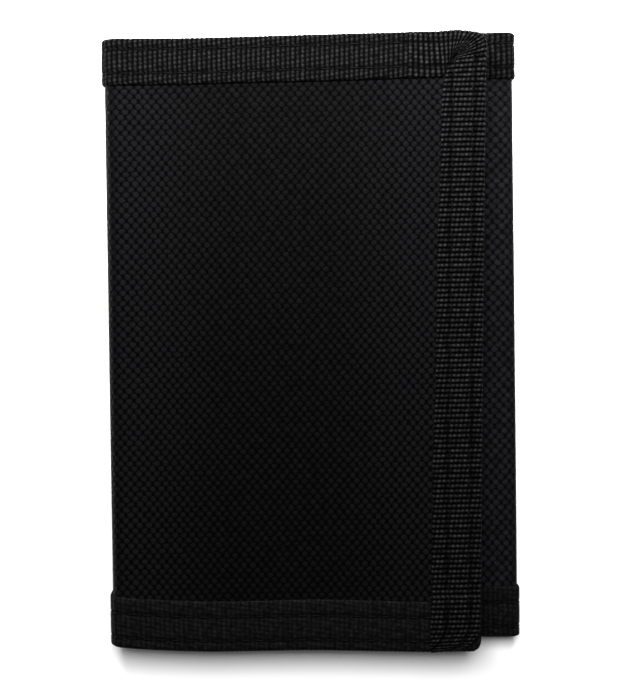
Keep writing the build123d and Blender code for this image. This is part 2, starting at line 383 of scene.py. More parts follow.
def strip_sheet(kind, outer_depth, inner_depth, high_drop, material, slot):
    """The shell or the lining: four pieces, each over one fold."""
    paths = section(outer_depth), section(inner_depth)
    for span, (start, stop) in SPANS.items():
        start = max(start, TAPE)
        stop = min(stop, S_END - TAPE)
        s = np.linspace(start, stop, int(round((stop - start) / SHEET_STEP)) + 1)
        round_off = corner_cut(s - TAPE, CORNER_RADIUS)[:, None]
        low = low_edge(s)[:, None] + TAPE + round_off
        high = high_edge(s)[:, None] - high_drop - TAPE - round_off
        y = low + (high - low) * np.linspace(0, 1, 84)
        grids = []
        for path in paths:
            x, z = (column[:, None] + 0 * y for column in on_section(s, path).T)
            grids.append(fitted(np.stack([x, y, z], axis=-1)))
        cloth = np.stack([s[:, None] + 0 * y, y], axis=-1)
        # Right of the back's middle, the shell takes a lighter copy of the nylon: painted light, where
        # the strip lies brighter than the flap.
        finish = PAINTED_LIGHT_NYLON if kind == "shell" and span in ("back_right", "inner") else material
        piece = solid_between(f"{span}_{kind}", *grids, cloth, finish, slot)
        stand_for(span, kind)
        bend(piece)


LEG_POINTS = 28
NOSE_TURN = np.radians(np.linspace(-90, 90, 9)[1:-1])


def tape_profile(width, total):
    """The folded tape's section: (from edge, depth) of its outside and its inside, its normals and
    the distance across the tape, all as one row of points from one edge round to the other."""
    nose_length = 0.55
    leg = np.linspace(width, nose_length, LEG_POINTS)
    half = total / 2
    nose = np.stack([nose_length * (1 - np.cos(NOSE_TURN)), half + half * np.sin(NOSE_TURN)], axis=1)
    outer_leg = np.stack([leg, 0 * leg], axis=1)
    inner_leg = np.stack([leg[::-1], 0 * leg + total], axis=1)
    outside = np.concatenate([outer_leg, nose, inner_leg])
    normals = np.concatenate([
        np.tile([0.0, -1.0], (LEG_POINTS, 1)),
        np.stack([-np.cos(NOSE_TURN), np.sin(NOSE_TURN)], axis=1),
        np.tile([0.0, 1.0], (LEG_POINTS, 1)),
    ])
    inside = outside - normals * min(TAPE * 0.9, half * 0.6)
    pinch = 0.55 * TAPE * np.exp(-((outside[:, 0] - width) / 0.25) ** 2)
    outside = outside - normals * pinch[:, None]
    steps = np.linalg.norm(np.diff(outside, axis=0), axis=1)
    return outside, inside, normals, np.concatenate([[0], np.cumsum(steps)])


def rib(along):
    """Height of the tape's ribs, from 0 to 1."""
    return np.abs(np.sin(np.pi * along / RIB_PITCH)) ** 0.8


def seam_press(from_edge):
    """How far stitches pull the tape in, in mm, by the distance from the edge."""
    return 0.2 * sum(np.exp(-((from_edge - seam) / 0.35) ** 2) for seam in SEAMS)


def seam_shade_mask(from_edge):
    """Strength of the painted shade along the rows of stitches: 1 on them and 0 away from them."""
    return sum(np.exp(-((from_edge - seam) / 0.42) ** 2) for seam in SEAMS)


def strip_tape(kind, edge, outer, inner, total, width, drop, material, spans=SPANS):
    """Binding tape along the strip's top or bottom edge, with its two rows of stitches on each
    face. outer and inner are the depths of its faces, and total is its thickness."""
    outer_path, inner_path = section(outer), section(inner)
    outside, inside, normals, across = tape_profile(width, total)
    inwards = 1 if edge == "bottom" else -1

    def edge_y(s):
        return low_edge(s) if edge == "bottom" else high_edge(s) - drop

    def on_seam(at, seam, depth):
        """Points and outward normals on a face of the tape."""
        near, far = on_section(at, outer_path), on_section(at, inner_path)
        xz = near + (far - near) * (depth / total)
        out = (near - far) if depth == 0 else (far - near)
        out = out / np.linalg.norm(out, axis=1)[:, None]
        points = np.stack([xz[:, 0], edge_y(at) + inwards * seam, xz[:, 1]], axis=1)
        return fitted(points), np.stack([out[:, 0], 0 * out[:, 0], out[:, 1]], axis=1)

    for span, (start, stop) in spans.items():
        s = np.linspace(start, stop, int(round((stop - start) / TAPE_STEP)) + 1)
        line = edge_y(s) + (corner_cut(s, BOTTOM_TAPE_CORNER) if edge == "bottom" else 0)
        at_outer = on_section(s, outer_path)
        inward = (on_section(s, inner_path) - at_outer) / total

        def placed(from_edge, depth):
            """Points at stations s, from (station, profile) arrays."""
            xz = at_outer[:, None, :] + inward[:, None, :] * depth[..., None]
            y = line[:, None] + inwards * from_edge
            return fitted(np.stack([xz[..., 0], y, xz[..., 1]], axis=-1))

        lift = RIB_HEIGHT * (rib(s)[:, None] - 0.6) - seam_press(outside[:, 0])[None, :]
        sway = wander(s, 0 * s, 0.16, 3)[:, None] * (outside[:, 0] / width)[None, :]
        from_edge = outside[None, :, 0] + normals[None, :, 0] * lift + sway
        depth = outside[None, :, 1] + normals[None, :, 1] * lift
        outer_grid = placed(from_edge, depth)
        inner_grid = placed(inside[None, :, 0] + sway, inside[None, :, 1] + 0 * lift)
        # The third coordinate sets how strong the painted shade along the seams is.
        cloth = np.stack([
            s[:, None] + 0 * lift,
            across[None, :] + 0 * lift,
            seam_shade_mask(outside[None, :, 0] + 0 * lift),
        ], axis=-1)
        piece = solid_between(f"{span}_{kind}", outer_grid, inner_grid, cloth, material, "binding_tape")
        stand_for(span, kind)
        bend(piece)
        for side, face in (("outside", 0.0), ("inside", total)):
            rows = [stitch_row(on_seam, start + 0.8, stop - 0.6, seam, face) for seam in SEAMS]
            bend(stitches(f"{span}_{kind}_stitches_{side}", rows))


def stitch_row(point_at, start, stop, *which):
    """Rings of small tubes, one tube for each stitch between two places on a seam. point_at gives
    the seam's points at an array of places, and their normals or the one that they share."""
    count = max(int((stop - start) / STITCH_PITCH), 1)
    first = start + (np.arange(count) + 0.5) * (stop - start) / count - STITCH_LENGTH / 2
    share = np.linspace(0, 1, STITCH_RINGS)
    at = (first[:, None] + share[None, :] * STITCH_LENGTH).ravel()
    points, normals = point_at(at, *which)
    points = points.reshape(count, STITCH_RINGS, 3)
    normals = np.broadcast_to(normals, (count * STITCH_RINGS, 3)).reshape(points.shape)
    along = np.gradient(points, axis=1)
    along = along / np.linalg.norm(along, axis=2)[..., None]
    beside = np.cross(normals, along)
    arch = np.sin(np.pi * share)[None, :, None]
    middle = points + normals * (0.16 * arch - 0.2)
    radius = STITCH_RADIUS * (0.55 + 0.45 * arch[..., None])
    return rings_round(middle, beside, 0.8 * normals, radius, STITCH_SIDES), count


def stitches(name, rows):
    """One object for several rows of stitches."""
    points = np.concatenate([row[0] for row in rows])
    count = sum(row[1] for row in rows)
    quads = tube_quads(count, STITCH_RINGS, STITCH_SIDES)
    return quad_object(name, points, quads, points[:, :2], THREAD)


# ---- Materials

class Graph:
    """Short names for the shader nodes of one material."""

    def __init__(self, name, roughness, specular, sheen=0.0):
        self.material = bpy.data.materials.new(name)
        self.material.use_nodes = True
        self.tree = self.material.node_tree
        self.shader = self.tree.nodes["Principled BSDF"]
        self.shader.inputs["Roughness"].default_value = roughness
        self.shader.inputs["Specular IOR Level"].default_value = specular
        self.shader.inputs["Sheen Weight"].default_value = sheen
        self.shader.inputs["Sheen Roughness"].default_value = 0.45

    def put(self, kind, **settings):
        node = self.tree.nodes.new(kind)
        for key, value in settings.items():
            setattr(node, key, value)
        return node

    def join(self, value, socket):
        """Sets an input to a number or a colour, or links it."""
        if isinstance(value, (int, float, tuple)):
            socket.default_value = value
        else:
            self.tree.links.new(value, socket)

    def math(self, operation, *values):
        node = self.put("ShaderNodeMath", operation=operation)
        for value, socket in zip(values, node.inputs):
            self.join(value, socket)
        return node.outputs[0]

    def add(self, a, b):
        return self.math("ADD", a, b)

    def minus(self, a, b):
        return self.math("SUBTRACT", a, b)

    def times(self, a, b):
        return self.math("MULTIPLY", a, b)

    def cloth(self):
        """The place on the cloth, and its parts: along, across, and the strength of a tape's painted
        shade, 1 on a seam.
        """
        spot = self.put("ShaderNodeAttribute", attribute_name="cloth")
        parts = self.put("ShaderNodeSeparateXYZ")
        self.join(spot.outputs["Vector"], parts.inputs[0])
        return (spot.outputs["Vector"], *parts.outputs)

    def noise(self, where, scale, detail=2.0, stretch=None):
        node = self.put("ShaderNodeTexNoise")
        if stretch:
            mapping = self.put("ShaderNodeMapping")
            self.join(where, mapping.inputs["Vector"])
            mapping.inputs["Scale"].default_value = stretch
            where = mapping.outputs[0]
        self.join(where, node.inputs["Vector"])
        node.inputs["Scale"].default_value = scale
        node.inputs["Detail"].default_value = detail
        return node.outputs["Fac"]

    def between(self, factor, low, high):
        """Colour mix by a factor."""
        node = self.put("ShaderNodeMix", data_type="RGBA")
        self.join(factor, node.inputs["Factor"])
        self.join(low, node.inputs[6])
        self.join(high, node.inputs[7])
        return node.outputs[2]

    def lattice(self, u, v, pitch_u, pitch_v, shift):
        """Squared distance to the nearest thread crown, where crowns are two pitches apart."""
        total = 0.0
        for value, pitch, reach in ((u, pitch_u, 1.0), (v, pitch_v, 0.84)):
            place = self.add(self.math("DIVIDE", value, 2 * pitch), shift + 0.5)
            offset = self.minus(self.math("FRACT", place), 0.5)
            scaled = self.times(offset, 2 / reach)
            total = self.add(self.times(scaled, scaled), total)
        return total

    def span(self, value, low, high, to_low=0.0, to_high=1.0):
        """Maps a value from one range to another, smoothly and clamped."""
        node = self.put("ShaderNodeMapRange", interpolation_type="SMOOTHSTEP")
        for number, socket in zip((value, low, high, to_low, to_high), node.inputs):
            self.join(number, socket)
        return node.outputs[0]

    def finish(self, colour, height, distance, roughness=None):
        """Links the colour and the bump, whose full height is distance mm."""
        bump = self.put("ShaderNodeBump")
        bump.inputs["Distance"].default_value = distance * MM
        bump.inputs["Strength"].default_value = 1.0
        self.join(height, bump.inputs["Height"])
        self.join(bump.outputs[0], self.shader.inputs["Normal"])
        self.join(colour, self.shader.inputs["Base Color"])
        if roughness is not None:
            self.join(roughness, self.shader.inputs["Roughness"])
        return self.material


def grey(value, tint=1.0):
    """A grey, which is bluish where tint is over 1."""
    return (value, value, value * tint, 1.0)


def woven_nylon(name, pitch_u, pitch_v, low, high, bump, roughness, specular, painted_sheen_places=()):
    """Plain-woven nylon: plump threads show in a brick pattern, with fine filaments along them, painted
    highlights on their crowns and painted shade in the pinholes between them. The last argument is
    the two places along the cloth round which a painted sheen lightens the threads."""
    g = Graph(name, roughness, specular, sheen=0.002)
    spot, along, across, _ = g.cloth()
    drift = g.times(g.minus(g.noise(spot, 0.12), 0.5), 0.5)
    jitter = g.times(g.minus(g.noise(spot, 1.1, 3.0), 0.5), 0.75)
    u = g.add(g.add(along, drift), jitter)
    v = g.add(g.minus(across, drift), jitter)
    near = [g.lattice(u, v, pitch_u, pitch_v, shift) for shift in (0.0, 0.5)]
    plump = g.math("SQRT", g.math("MAXIMUM", g.minus(1.0, g.math("MINIMUM", *near)), 0.0))
    filaments = g.noise(spot, 1.0, stretch=(1.5, 9.0, 1.0))
    uneven = g.noise(spot, 0.55, 3.0)
    thread = g.between(g.span(uneven, 0.3, 0.7), high, grey(high[0] * 0.5, 1.1))
    # Painted highlight: the thread crowns are lighter in colour. Painted shade: the pinholes between
    # them are darker.
    painted_crown_light = g.span(g.add(plump, g.times(filaments, 0.3)), 0.64, 1.2)
    # Painted sheen: the threads are lighter within 26 mm of the two places, beside the outer flap's
    # free edge and its fold.
    if painted_sheen_places:
        near_fold = [g.span(g.math("ABSOLUTE", g.minus(along, s)), 26.0, 0.0) for s in painted_sheen_places]
        painted_sheen_share = g.times(g.math("MAXIMUM", *near_fold), 0.7)
        thread = g.between(painted_sheen_share, thread, grey(high[0] * 1.9, 1.15))
    colour = g.between(painted_crown_light, low, thread)
    relief = g.add(plump, g.times(filaments, 0.16))
    rough = g.span(painted_crown_light, 0.0, 1.0, min(roughness + 0.4, 1.0), roughness)
    return g.finish(colour, relief, bump, roughness=rough)


def grosgrain(name, low, high, rib_depth, float_depth):
    """Ribbed binding tape: each rib is a row of short plump floats with painted highlights on them and
    painted shade in the gaps between them, and the seams, marked by the cloth's third coordinate, are
    sunk and carry painted shade."""
    g = Graph(name, 0.4, TAPE_SPEC, sheen=0.002)
    spot, along, across, on_seam = g.cloth()
    wave = g.math("ABSOLUTE", g.math("SINE", g.times(along, np.pi / RIB_PITCH)))
    rib_number = g.math("FLOOR", g.math("DIVIDE", along, RIB_PITCH))
    phase = g.add(g.times(across, 2 * np.pi / 0.9), g.times(rib_number, 0.9))
    phase = g.add(phase, g.times(g.noise(spot, 0.9), 2.2))
    float_wave = g.add(g.times(g.math("COSINE", phase), 0.5), 0.5)
    floats = g.add(g.times(float_wave, float_depth), 1.0 - float_depth)
    ribs = g.add(g.times(g.math("POWER", wave, 0.8), rib_depth), 1.0 - rib_depth)
    height = g.times(ribs, floats)
    filaments = g.noise(spot, 1.0, stretch=(8.0, 1.2, 1.0))
    wear = g.span(g.noise(spot, 0.95, 3.0), 0.32, 0.68)
    thread = g.between(wear, grey(high[0] * 0.35, 1.12), grey(high[0] * 1.65, 1.05))
    # Painted highlight on the floats and painted shade in the gaps between them.
    painted_crown_light = g.span(g.add(height, g.times(filaments, 0.15)), 0.45, 1.05)
    # Painted shade along the seams and the crease.
    seam_shade = g.times(on_seam, g.span(g.noise(spot, 0.5), 0.3, 0.6, 0.4, 0.95))
    painted_crown_light = g.times(painted_crown_light, g.minus(1.0, seam_shade))
    colour = g.between(painted_crown_light, low, thread)
    relief = g.add(height, g.times(filaments, 0.15))
    rough = g.span(painted_crown_light, 0.0, 1.0, 0.9, 0.42)
    return g.finish(colour, relief, 0.28 * rib_depth, roughness=rough)


def plastic(name, low, high, roughness, specular):
    """Moulded or spun synthetic with fine grain."""
    g = Graph(name, roughness, specular)
    where = g.put("ShaderNodeTexCoord").outputs["Object"]
    grain = g.noise(where, 2600.0, 3.0)
    patches = g.noise(where, 180.0, 2.0)
    mixed = g.add(g.times(grain, 0.5), g.times(patches, 0.5))
    rough = g.span(grain, 0.3, 0.7, roughness, min(roughness + 0.2, 1.0))
    return g.finish(g.between(g.span(mixed, 0.35, 0.65), low, high), grain, 0.04, roughness=rough)


def clear_vinyl():
    """Clear soft vinyl, a little wavy, with fine rubbing marks that show as haze."""
    g = Graph("clear_vinyl", 0.14, 0.2)
    where = g.put("ShaderNodeTexCoord").outputs["Object"]
    waves = g.noise(where, 45.0, 2.0)
    marks = g.noise(where, 900.0, 3.0, stretch=(1.0, 0.5, 1.0))
    relief = g.add(waves, g.times(marks, 0.0008))
    rough = g.span(marks, 0.3, 0.8, 0.1, 0.22)
    g.join(g.span(marks, 0.35, 0.8, 0.1, 0.14), g.shader.inputs["Alpha"])
    return g.finish(g.between(marks, grey(0.04), grey(0.055)), relief, 0.35, roughness=rough)


def thread_material():
    """Twisted polyester sewing thread."""
    g = Graph("sewing_thread", 0.5, 0.02)
    where = g.put("ShaderNodeTexCoord").outputs["Object"]
    twist = g.noise(where, 4200.0, 2.0)
    colour = g.between(twist, grey(0.0003), grey(0.0014, 1.04))
    return g.finish(colour, twist, 0.05)


# The shell's nylon has a painted sheen near the outer flap's free edge and its fold.
NYLON = woven_nylon("ballistic_nylon", WARP_PITCH, WEFT_PITCH, grey(0.0002), grey(NYLON_GREY, 1.15),
                    NYLON_BUMP, 0.45, NYLON_SPEC, (SIDE_TAPE_TOP_WIDTH, float(PANEL_STARTS[1])))
# A lighter, bluer copy of the nylon for the strip on the right: painted light.
PAINTED_LIGHT_NYLON = woven_nylon("ballistic_nylon_painted_light", WARP_PITCH, WEFT_PITCH, grey(0.0008),
                         grey(NYLON_GREY * 3.7, 1.25), NYLON_BUMP * 0.7, 0.5, NYLON_SPEC)
LINING = woven_nylon("packcloth_lining", 0.42, 0.42, grey(0.0006), grey(0.0036, 1.05), 0.08, 0.55, 0.02)
GROSGRAIN = grosgrain("grosgrain_tape", grey(0.0002), grey(TAPE_GREY, 1.1), 1.0, 0.4)
TOP_GROSGRAIN = grosgrain("grosgrain_tape_top", grey(0.0004), grey(TAPE_GREY * 0.6, 1.1), 0.9, 0.35)
# A darker copy with lower ribs for the bottom tape: painted shade, as the light from above the top edge
# leaves the bottom edge dark.
BOTTOM_GROSGRAIN = grosgrain("grosgrain_tape_painted_shade", grey(0.0012), grey(TAPE_GREY * 0.36, 1.1), 0.4, 0.3)
THREAD = thread_material()
HOOKS = plastic("moulded_hooks", grey(0.003), grey(0.009), 0.35, 0.16)
LOOPS = plastic("brushed_loops", grey(0.002), grey(0.009), 0.6, 0.06)
PATCH_BASE_CLOTH = woven_nylon("patch_base", 0.35, 0.35, grey(0.0008), grey(0.005), 0.08, 0.55, 0.03)
VINYL = clear_vinyl()

# ---- Shell, lining and the tapes along the strip

def all_depths(extra):
    """The depth of the innermost sheet of each panel, plus extra."""
    return {panel: SHEETS_IN[panel] + extra for panel in PANELS}


strip_sheet("shell", TAPE, SHELL_IN, 0, NYLON, "shell_nylon")
strip_sheet("lining", LINING_OUT, LINING_IN, LINING_DROP, LINING, "lining_nylon")
TOP_SPANS = {**SPANS, "flap": (panel_s("outer_flap", JOIN_X), S_LEFT)}
strip_tape("shell_top_tape", "top", 0.0, SHELL_IN + TAPE, SHELL_IN + TAPE, TOP_TAPE_WIDTH, 0,
           TOP_GROSGRAIN, TOP_SPANS)
strip_tape("lining_top_tape", "top", LINING_OUT - TAPE, LINING_IN + TAPE,
           LINING_IN - LINING_OUT + 2 * TAPE, TOP_TAPE_WIDTH, LINING_DROP, GROSGRAIN)
strip_tape("bottom_tape", "bottom", 0.0, all_depths(TAPE), 4.0, BOTTOM_TAPE_WIDTH, 0, BOTTOM_GROSGRAIN)

# ---- Tape round the flaps' free edges

def edge_tape(name, edge, inner_edge, total, raised, body, node, puff=0.0, thickness=0.38, pinch=1.0):
    """Folded tape with a straight line of the tape from inner_edge to edge at each station. total is
    its thickness over both legs, raised the z of its outside and puff how far that swells, by
    station or one for all. pinch is 1 where the inner edge is sewn down and 0 in a crease."""
    total, raised = (np.broadcast_to(value, len(edge)) for value in (total, raised))
    along = np.concatenate([[0], np.cumsum(np.linalg.norm(np.diff(edge, axis=0), axis=1))])
    heading = np.gradient(edge, axis=0)
    heading = heading / np.linalg.norm(heading, axis=1)[:, None]
    out = np.stack([-heading[:, 1], heading[:, 0]], axis=1)
    if np.einsum("ij,ij->", out, edge - inner_edge.mean(axis=0)) < 0:
        out = -out
    leg_share = np.linspace(0, 1, LEG_POINTS)
    level, upright = 0 * leg_share, 0 * leg_share + 1
    nose_length = 0.5
    leg_end = edge - nose_length * out
    leg = inner_edge[:, None] + (leg_end - inner_edge)[:, None] * leg_share[None, :, None]
    nose = edge[:, None] - out[:, None] * nose_length * (1 - np.cos(NOSE_TURN))[None, :, None]
    flat = np.concatenate([leg, nose, leg[:, ::-1]], axis=1)
    down = np.concatenate([level, 1 + np.sin(NOSE_TURN), 2 * upright])
    depth = down * total[:, None] / 2
    sideways = np.concatenate([level, np.cos(NOSE_TURN), level])
    upwards = np.concatenate([upright, -np.sin(NOSE_TURN), -upright])
    normal = np.concatenate([
        out[:, None, :] * sideways[None, :, None],
        0 * out[:, None, :1] + upwards[None, :, None],
    ], axis=2)
    skin = np.concatenate([flat, (raised[:, None] - depth)[..., None]], axis=2)
    from_inner = np.linalg.norm(flat - inner_edge[:, None], axis=2)
    from_edge = np.linalg.norm(flat - edge[:, None], axis=2)
    on_leg = np.concatenate([upright, 0 * NOSE_TURN, upright])
    lift = RIB_HEIGHT * (rib(along)[:, None] - 0.6) - seam_press(from_edge) * on_leg
    lift = lift - pinch * 0.5 * TAPE * np.exp(-(from_inner / 0.3) ** 2) * on_leg
    dome = np.concatenate([np.sin(np.pi * leg_share), 0 * NOSE_TURN, level])
    lift = lift + np.reshape(puff, (-1, 1)) * dome
    outer_grid = fitted(skin + normal * lift[..., None], lean=False)
    inner_grid = fitted(skin - normal * thickness, lean=False)
    across = np.linalg.norm(np.diff(skin, axis=1), axis=2)
    across = np.concatenate([np.zeros((len(along), 1)), np.cumsum(across, axis=1)], axis=1)
    # Painted shadow along the crease at the flap's corner, where the inner edge isn't sewn down, added
    # to the seams' painted shade.
    crease = (1 - pinch) * np.exp(-(from_inner / 1.2) ** 2)
    cloth = np.stack([
        along[:, None] + 0 * across,
        across - across.max(axis=1, keepdims=True) / 2,
        (seam_shade_mask(from_edge) + crease) * on_leg,
    ], axis=-1)
    piece = solid_between(name, outer_grid, inner_grid, cloth, GROSGRAIN, "binding_tape")
    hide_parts(node)
    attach(piece, body)


def routed(start, legs):
    """Stations TAPE_STEP apart for a point that moves from start over legs of (length, end)."""
    parts = []
    for length, end in legs:
        count = max(int(round(length / TAPE_STEP)), 1)
        share = np.arange(count)[:, None] / count
        parts.append(np.array(start) + (np.array(end) - np.array(start)) * share)
        start = end
    return np.concatenate([*parts, [start]])


def softened_route(points, width):
    return np.stack([softened(points[:, i], width, TAPE_STEP) for i in (0, 1)], axis=1)


def flap_edge_tape():
    """The tape that comes along the outer flap's top, bunches round its corner and runs down its
    free edge. Its inner edge climbs a crease at the corner and comes back, so its ribs fan out."""
    top = high_edge(panel_s("outer_flap", 26))
    low = low_edge(0)
    join_y = high_edge(panel_s("outer_flap", JOIN_X))
    join = (leaned(JOIN_X, top), join_y)
    join_inner = (leaned(JOIN_X, join_y - TOP_TAPE_WIDTH), join_y - TOP_TAPE_WIDTH)
    turn = (26.3, top + 0.05)            # the edge rises from here to its peak
    peak = (29.7, top + 0.35)
    fan = (28.9, top - 5.2)              # the upper end of the crease
    straight_y = top - 10.5              # the tape is straight below this
    edge_x = free_edge_x(top)
    radius = 2.6
    arc = [(edge_x - radius + radius * np.sin(a), top - radius + radius * np.cos(a))
           for a in np.linspace(0, np.pi / 2, 5)]
    edge_legs = [(turn[0] - JOIN_X, turn), (3.4, peak), (edge_x - radius - peak[0], arc[0])]
    inner_legs = [
        (turn[0] - JOIN_X, (27.0, top - TOP_TAPE_WIDTH + 0.1)),
        (3.4, fan),
        (edge_x - radius - peak[0], fan),
    ]
    for end in arc[1:]:
        edge_legs.append((radius * np.pi / 8, end))
        inner_legs.append((radius * np.pi / 8, fan))
    edge_legs.append((2.6, (free_edge_x(top - 5.2), top - 5.2)))
    edge_legs.append((5.3, (free_edge_x(straight_y), straight_y)))
    inner_legs.append((2.6, (fan[0] + 0.1, fan[1] - 0.5)))
    inner_legs.append((1.0, (fan[0] - 0.8, fan[1] - 1.4)))
    inner_legs.append((4.3, (free_edge_x(straight_y) - SIDE_TAPE_TOP_WIDTH, straight_y)))
    for start_y in np.arange(straight_y, low + 8.0, -6.0):
        end_y = max(start_y - 6.0, low + 2.0)
        width = np.interp(end_y, [low, top], [SIDE_TAPE_BOTTOM_WIDTH, SIDE_TAPE_TOP_WIDTH])
        width = width + wander(end_y * 1.7, 0.0, 0.25, 5)
        edge_legs.append((start_y - end_y, (free_edge_x(end_y), end_y)))
        inner_legs.append((start_y - end_y, (free_edge_x(end_y) - width, end_y)))
    end_x, end_y = edge_legs[-1][1]
    inner_x = inner_legs[-1][1][0]
    radius = end_y - low
    for angle in np.linspace(0, np.pi / 2, 5)[1:]:
        turned = (end_x - radius * (1 - np.cos(angle)), end_y - radius * np.sin(angle))
        edge_legs.append((radius * np.pi / 8, turned))
        inner_legs.append((radius * np.pi / 8, (inner_x, turned[1])))
    edge = softened_route(routed(join, edge_legs), 0.5)
    inner_edge = softened_route(routed(join_inner, inner_legs), 0.35)
    along = np.arange(len(edge)) * TAPE_STEP
    over = np.clip((low + 12.0 - edge[:, 1]) / 1.5, 0, 1) * (along > 30)
    over = 0.42 * over * over * (3 - 2 * over)      # where it lies over the bottom tape
    total = np.interp(along, [4.0, 12.0], [SHELL_IN + TAPE, POCKET_IN + TAPE]) + 2 * over
    bunch = np.exp(-((along - 12.5) / 3.6) ** 2)
    puff = 0.1 + 0.55 * bunch + 0.1 * wander(along * 2.3, 0.0, 1.0, 2)
    puff = puff * np.clip(along / 4.0, 0, 1)
    in_crease = np.exp(-((along - 11.5) / 5.0) ** 6)
    edge_tape("outer_flap_edge_tape", edge, inner_edge, total, FLAP_Z + over,
              "outer_flap", "outer_flap_side_tape", puff, pinch=(1 - in_crease)[:, None])

    def on_tape(at, seam, inside):
        x, y, inner_x, inner_y, thick, rise, swell = (
            np.interp(at, along, values)
            for values in (*edge.T, *inner_edge.T, total, over, puff)
        )
        share = seam / np.maximum(np.hypot(inner_x - x, inner_y - y), seam)
        z = FLAP_Z + rise + (1 - inside) * swell * 0.8 - inside * thick
        spots = np.stack([x + (inner_x - x) * share, y + (inner_y - y) * share, z], axis=1)
        return fitted(spots, lean=False), (0, 0, 1 - 2 * inside)

    for side, inside in (("outside", 0), ("inside", 1)):
        rows = [
            stitch_row(on_tape, 19.0, along[-1] - 3.0, seam, inside)
            for seam in (SEAMS[0] + 0.5, SEAMS[1] - 0.5)
        ]
        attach(stitches(f"outer_flap_edge_tape_stitches_{side}", rows), "outer_flap")


def inner_flap_edge_tape():
    """The straight tape on the inner flap's free edge."""
    top = high_edge(S_END)
    y = np.arange(BACK_LOW_Y, top, TAPE_STEP)
    edge = np.stack([INNER_FREE_X + wander(y, 0 * y, 0.15, 6), y], axis=1)
    thick = SLOTS_IN + TAPE
    edge_tape("inner_flap_edge_tape", edge, edge + (INNER_TAPE_WIDTH, 0), thick, INNER_Z,
              "inner_flap", "inner_flap_side_tape")

    def on_tape(at, seam, z, up):
        return np.stack([INNER_FREE_X + seam + 0 * at, at, z + 0 * at], axis=1), (0, 0, up)

    for side, z, up in (("outside", INNER_Z, 1), ("inside", INNER_Z - thick, -1)):
        rows = [stitch_row(on_tape, BACK_LOW_Y + 2, top - 2, seam, z, up) for seam in SEAMS]
        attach(stitches(f"inner_flap_edge_tape_stitches_{side}", rows), "inner_flap")


flap_edge_tape()
inner_flap_edge_tape()

# ---- Pockets

def pocket_sheet(node, body, seed, uneven=0.05, raised=0.0):
    """A pocket's sheet of fabric, in the place of its CAD node and a little uneven."""
    low, high = box_mm(node)
    if node == "flap_pocket":
        high[0] = FREE_X - TAPE
    columns, rows = (int(side / 1.2) for side in (high - low)[:2])
    y, x = np.meshgrid(
        np.linspace(low[1], high[1], rows), np.linspace(low[0], high[0], columns), indexing="ij")
    if node == "flap_pocket":
        share = (y - low[1]) / (high[1] - low[1])
        drawn_in = low_edge(panel_s("outer_flap", x)) + TAPE - low[1]
        y = y + (1 - share) * (drawn_in + corner_cut(high[0] - x, CORNER_RADIUS))
    bow = wander(x, y, uneven, seed) + raised
    grids = [fitted(np.stack([x, y, z + bow], axis=-1)) for z in (high[2], low[2])]
    piece = solid_between(f"{node}_sheet", *grids, np.stack([x, y], axis=-1), LINING, "lining_nylon")
    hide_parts(node)
    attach(piece, body)


def mouth_tape(node, body):
    """Narrow ribbed tape folded over a pocket's upper edge, with one row of stitches."""
    low, high = box_mm(node)
    proud = 0.25
    x = np.arange(low[0], high[0], TAPE_STEP)
    edge = np.stack([x, high[1] + 0 * x], axis=1)
    edge_tape(f"{node}_folded", edge, edge - (0, MOUTH_TAPE_WIDTH), high[2] - low[2] + proud,
              high[2] + proud, body, node, thickness=0.16)

    def on_tape(at):
        spots = np.stack([at, high[1] - MOUTH_SEAM + 0 * at, low[2] + 0 * at], axis=1)
        return fitted(spots, lean=False), (0, 0, -1)

    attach(stitches(f"{node}_stitches", [stitch_row(on_tape, low[0] + 1, high[0] - 1)]), body)


pocket_sheet("flap_pocket", "outer_flap", 2)
mouth_tape("flap_pocket_tape", "outer_flap")
for number in (1, 2, 3):
    pocket_sheet(f"card_slot_{number}", "inner_flap", 3 + number)
    mouth_tape(f"card_slot_{number}_tape", "inner_flap")
pocket_sheet("id_pocket_backing", "back_panel", 8, uneven=0, raised=-0.06)

# ---- Window pocket and hook-and-loop patches

def outline(middle, size, corner, count):
    """Points evenly spaced round a rectangle with round corners, from the middle of its right side,
    and the length round it."""
    half = np.array(size) / 2
    arc = np.linspace(0, np.pi / 2, 13)
    turn = np.stack([np.cos(arc), np.sin(arc)], axis=1) * corner
    quarter = turn + half - corner
    mirrored = quarter[::-1] * (-1, 1)
    path = np.concatenate([
        [(half[0], 0)], quarter, mirrored, -quarter, -mirrored, [(half[0], 0)],
    ]) + middle
    reach = np.concatenate([[0], np.cumsum(np.linalg.norm(np.diff(path, axis=0), axis=1))])
    at = np.linspace(0, reach[-1], count, endpoint=False)
    points = np.stack([np.interp(at, reach, path[:, i]) for i in (0, 1)], axis=1)
    return points, reach[-1]


def round_stitches(name, middle, size, corner, z, up, body):
    """One row of stitches round a rectangle with round corners."""
    points, length = outline(middle, size, corner, 720)
    points = np.concatenate([points, points[:1]])
    places = np.linspace(0, length, len(points))

    def on_outline(at):
        x, y = (np.interp(at, places, points[:, i]) for i in (0, 1))
        return np.stack([x, y, z + 0 * x], axis=1), (0, 0, up)

    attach(stitches(name, [stitch_row(on_outline, 0, length)]), body)


